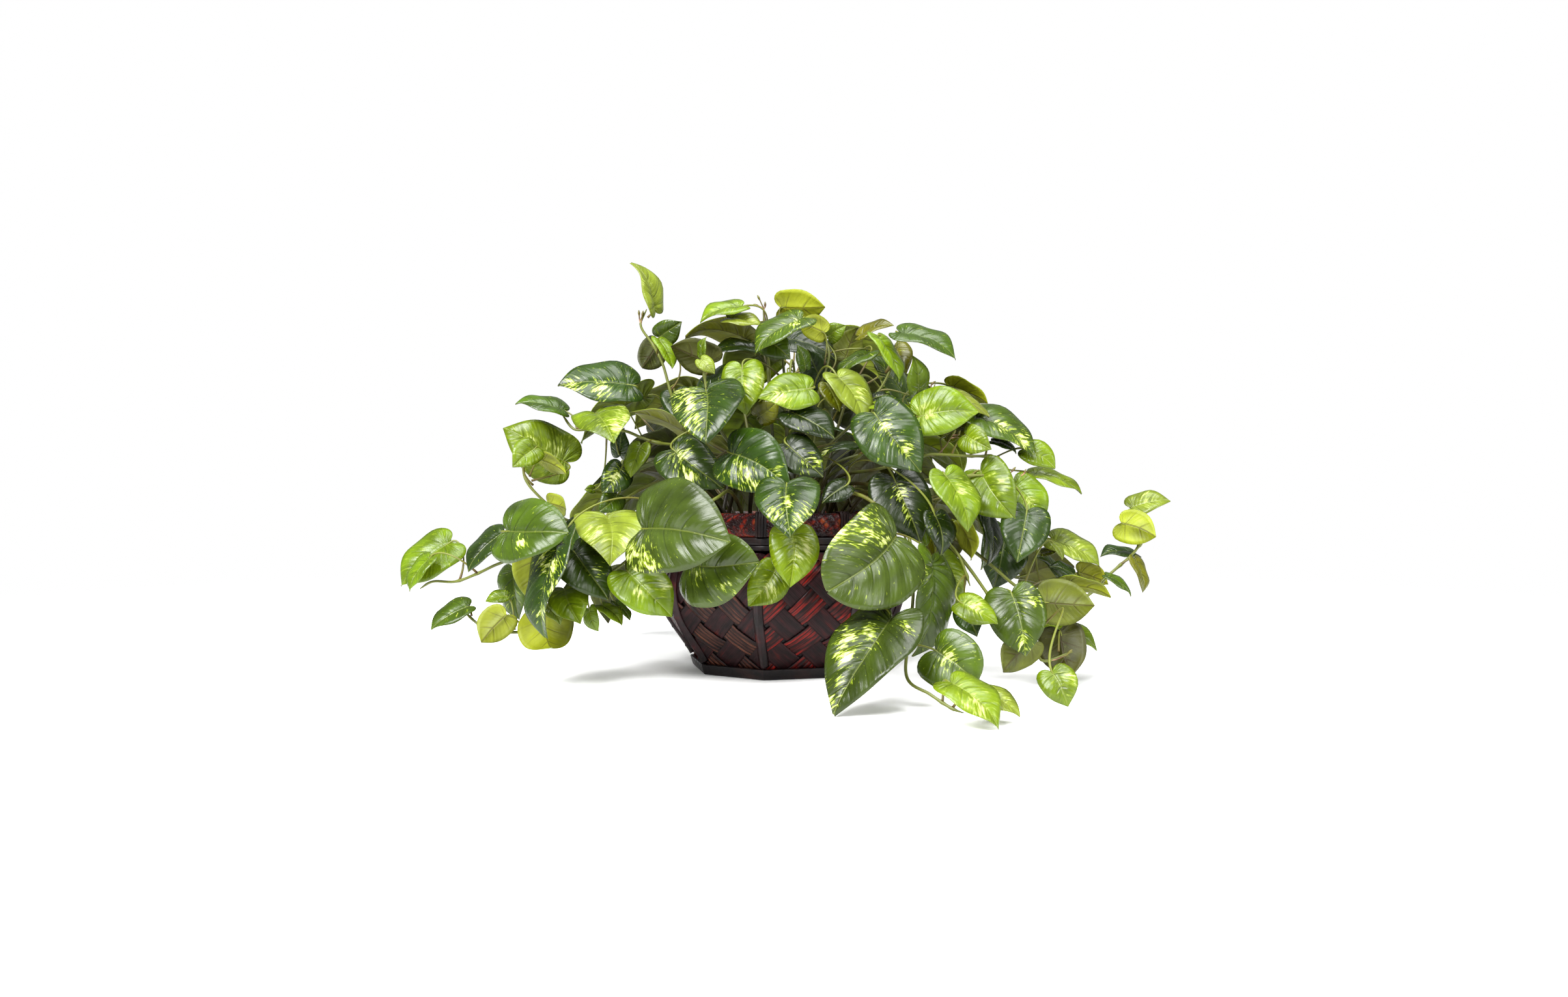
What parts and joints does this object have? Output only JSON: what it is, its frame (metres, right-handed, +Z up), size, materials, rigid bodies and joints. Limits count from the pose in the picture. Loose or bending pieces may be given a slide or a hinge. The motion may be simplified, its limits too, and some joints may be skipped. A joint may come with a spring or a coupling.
{
  "type": "potted pothos plant",
  "caption": "Leafy pothos plant with trailing variegated stems, in a soil-filled liner pot that stands inside an octagonal planter of plaited bamboo with a lashed rim band.",
  "frame": {"origin": "middle of the planter's underside, on the surface that it stands on", "axes": "+Z up, the pictured front of the plant looks along -Y, its long reach along X"},
  "size_m": [0.7046, 0.6156, 0.3821],
  "materials": {
    "bamboo": "gloss lacquer",
    "rib": "gloss lacquer",
    "dark_bamboo": "satin lacquer",
    "red_band": "crackled gloss lacquer",
    "liner": "matte",
    "soil": "loose and rough",
    "leaf": "soft gloss",
    "stem": "satin"
  },
  "bodies": {
    "root": {"planter_wall": "bamboo", "planter_base_ring": "dark_bamboo", "planter_board": "dark_bamboo", "planter_lower_band": "dark_bamboo", "planter_rim_band": "red_band", "planter_rib_1": "rib", "planter_rib_2": "rib", "planter_rib_3": "rib", "planter_rib_4": "rib", "planter_rib_5": "rib", "planter_rib_6": "rib", "planter_rib_7": "rib", "planter_rib_8": "rib", "planter_lashing_1": "dark_bamboo", "planter_lashing_2": "dark_bamboo", "planter_lashing_3": "dark_bamboo", "planter_lashing_4": "dark_bamboo", "planter_lashing_5": "dark_bamboo", "planter_lashing_6": "dark_bamboo", "planter_lashing_7": "dark_bamboo", "planter_lashing_8": "dark_bamboo", "liner_pot": "liner", "soil": "soil", "vine_left_trail": "leaf", "vine_left_high": "leaf", "vine_left_low": "leaf", "vine_left_front": "leaf", "vine_front_left": "leaf", "vine_up_left": "leaf", "vine_out_left": "leaf", "vine_inner_left": "leaf", "vine_top_left": "leaf", "vine_top": "leaf", "vine_top_right": "leaf", "vine_centre": "leaf", "vine_front_centre": "leaf", "vine_front_right": "leaf", "vine_right_inner": "leaf", "vine_right_top": "leaf", "vine_right_up": "leaf", "vine_right_reach": "leaf", "vine_right_mid": "leaf", "vine_right_low": "leaf", "vine_right_trail": "leaf", "vine_right_far": "leaf", "vine_right_drop": "leaf", "vine_low_left": "leaf", "vine_low_back": "leaf", "vine_low_right": "leaf", "vine_back_1": "leaf", "vine_back_2": "leaf", "vine_back_3": "leaf", "vine_back_4": "leaf", "vine_back_5": "leaf", "vine_back_6": "leaf", "vine_back_7": "leaf", "vine_back_8": "leaf"}
  },
  "joints": []
}
